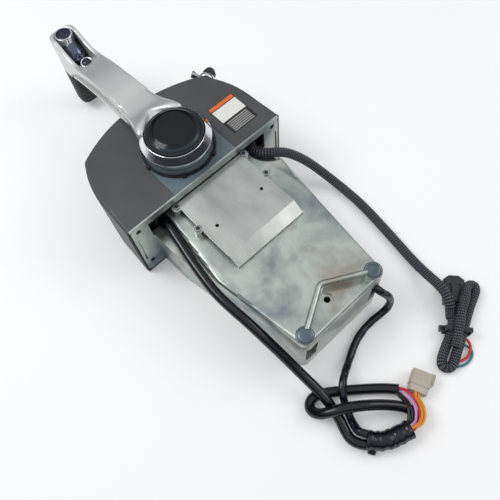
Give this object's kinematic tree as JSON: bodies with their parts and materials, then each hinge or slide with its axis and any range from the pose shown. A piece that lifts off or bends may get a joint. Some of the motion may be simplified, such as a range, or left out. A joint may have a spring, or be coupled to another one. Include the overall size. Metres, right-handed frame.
{
  "type": "boat throttle control lever",
  "caption": "Single-lever boat throttle and shift control: grey dome on a cast flange and tapering case, silver lever arm with black grip, gears inside, cable harness.",
  "frame": {"origin": "the lever's pivot axis on the bench plane that the dome's back lies on", "axes": "+Z along the lever's pivot axis, out of the lever side; +Y up when fitted, towards the neutral lever's grip; -Y down through the deck; +X to the right"},
  "size_m": [0.2127, 0.5227, 0.11],
  "materials": {
    "dome_plastic": "satin",
    "panel_plastic": "satin",
    "cast_alloy": "sprayed silver paint on a casting",
    "cover_sheet": "plain sheet",
    "arm_paint": "satin silver",
    "skirt_plastic": "satin",
    "black_plastic": "moulded",
    "gloss_black": "gloss",
    "black_rubber": "matt",
    "chrome": "polished",
    "button_plastic": "moulded",
    "steel": "machined",
    "bronze": "sintered",
    "cable_jacket": "soft vinyl",
    "braid": "braided sleeve",
    "red_insulation": "soft vinyl",
    "pink_insulation": "soft vinyl",
    "orange_insulation": "soft vinyl",
    "grey_plastic": "moulded"
  },
  "bodies": {
    "housing": {"near_cover": "dome_plastic", "far_cover": "dome_plastic", "dome_screws": "steel", "deck_rim": "black_rubber", "centre_panel": "panel_plastic", "lug_ring": "black_plastic", "shaft_seal": "black_rubber", "lower_case": "cast_alloy", "case_back": "cast_alloy", "cover_plate": "cover_sheet", "cover_plate_screws": "steel", "bearing_frame": "steel", "shaft_bushes": "bronze", "detent_block": "black_plastic", "neutral_switch": "black_plastic", "switch_body": "black_plastic", "switch_nut": "chrome", "stop_clip": "black_plastic", "cable_glands": "black_rubber", "main_harness": "cable_jacket", "harness_trunk": "cable_jacket", "harness_loop": "cable_jacket", "switch_lead": "cable_jacket", "braided_lead": "braid", "red_wire": "red_insulation", "pink_wire": "pink_insulation", "orange_wire": "orange_insulation", "braided_hank": "braid", "zip_tie": "black_plastic", "grey_connector": "grey_plastic", "black_connector": "black_plastic"},
    "lever": {"lever_arm": "arm_paint", "arm_back_plate": "arm_paint", "bezel_ring": "chrome", "hub_skirt": "skirt_plastic", "cap_ring": "black_plastic", "hub_screw": "steel", "cap_spring": "steel", "rubber_grip": "black_rubber", "barrel_spring": "steel", "trim_bezel": "chrome", "main_shaft": "steel", "shaft_clip": "steel", "drive_gear": "steel", "detent_disc": "steel"},
    "cap": {"hub_cap": "gloss_black"},
    "plunger": {"plunger_barrel": "chrome"},
    "trim": {"trim_button": "button_plastic"},
    "shift": {"shift_gear": "steel", "shift_shaft": "steel", "shift_arm": "steel", "shift_stud": "steel"},
    "throttle": {"throttle_gear": "steel", "throttle_shaft": "steel", "throttle_arm": "steel", "throttle_stud": "steel"},
    "stop": {"stop_toggle": "black_plastic"},
    "detent": {"detent_pin": "steel"}
  },
  "joints": [
    {"name": "lever_turn", "type": "hinge", "parent": "housing", "child": "lever", "pos_m": [0, 0, 0.09], "axis": [0, 0, 1], "range_deg": [-70, 75]},
    {"name": "cap_push", "type": "slide", "parent": "lever", "child": "cap", "axis": [0, 0, -1], "range_m": [0, 0.0025], "stiffness_N_per_m": 1500, "springref_m": -0.002, "deforming": ["cap_spring"]},
    {"name": "plunger_push", "type": "slide", "parent": "lever", "child": "plunger", "axis": [0, 0, -1], "range_m": [0, 0.004], "stiffness_N_per_m": 1200, "springref_m": -0.003, "deforming": ["barrel_spring"]},
    {"name": "trim_push", "type": "slide", "parent": "lever", "child": "trim", "axis": [0, -0.5878, -0.809], "range_m": [0, 0.0012], "stiffness_N_per_m": 1500, "springref_m": -0.0015},
    {"name": "shift_turn", "type": "hinge", "parent": "housing", "child": "shift", "pos_m": [0, -0.06, 0.03], "axis": [0, 0, 1], "range_deg": [-37.5, 35]},
    {"name": "throttle_turn", "type": "hinge", "parent": "housing", "child": "throttle", "pos_m": [-0.044, 0, 0.03], "axis": [0, 0, 1], "range_deg": [-62.5, 58.33]},
    {"name": "stop_swing", "type": "hinge", "parent": "housing", "child": "stop", "pos_m": [0.08008, 0.05739, 0.058], "axis": [0.6259, -0.7799, 0], "range_deg": [-14, 14]},
    {"name": "detent_slide", "type": "slide", "parent": "housing", "child": "detent", "axis": [1, 0, 0], "range_m": [0, 0.0015], "stiffness_N_per_m": 3000, "springref_m": -0.001}
  ],
  "couplings": [
    {"joint": "shift_turn", "follows": "lever_turn", "ratio": -0.5},
    {"joint": "throttle_turn", "follows": "lever_turn", "ratio": -0.83333}
  ]
}
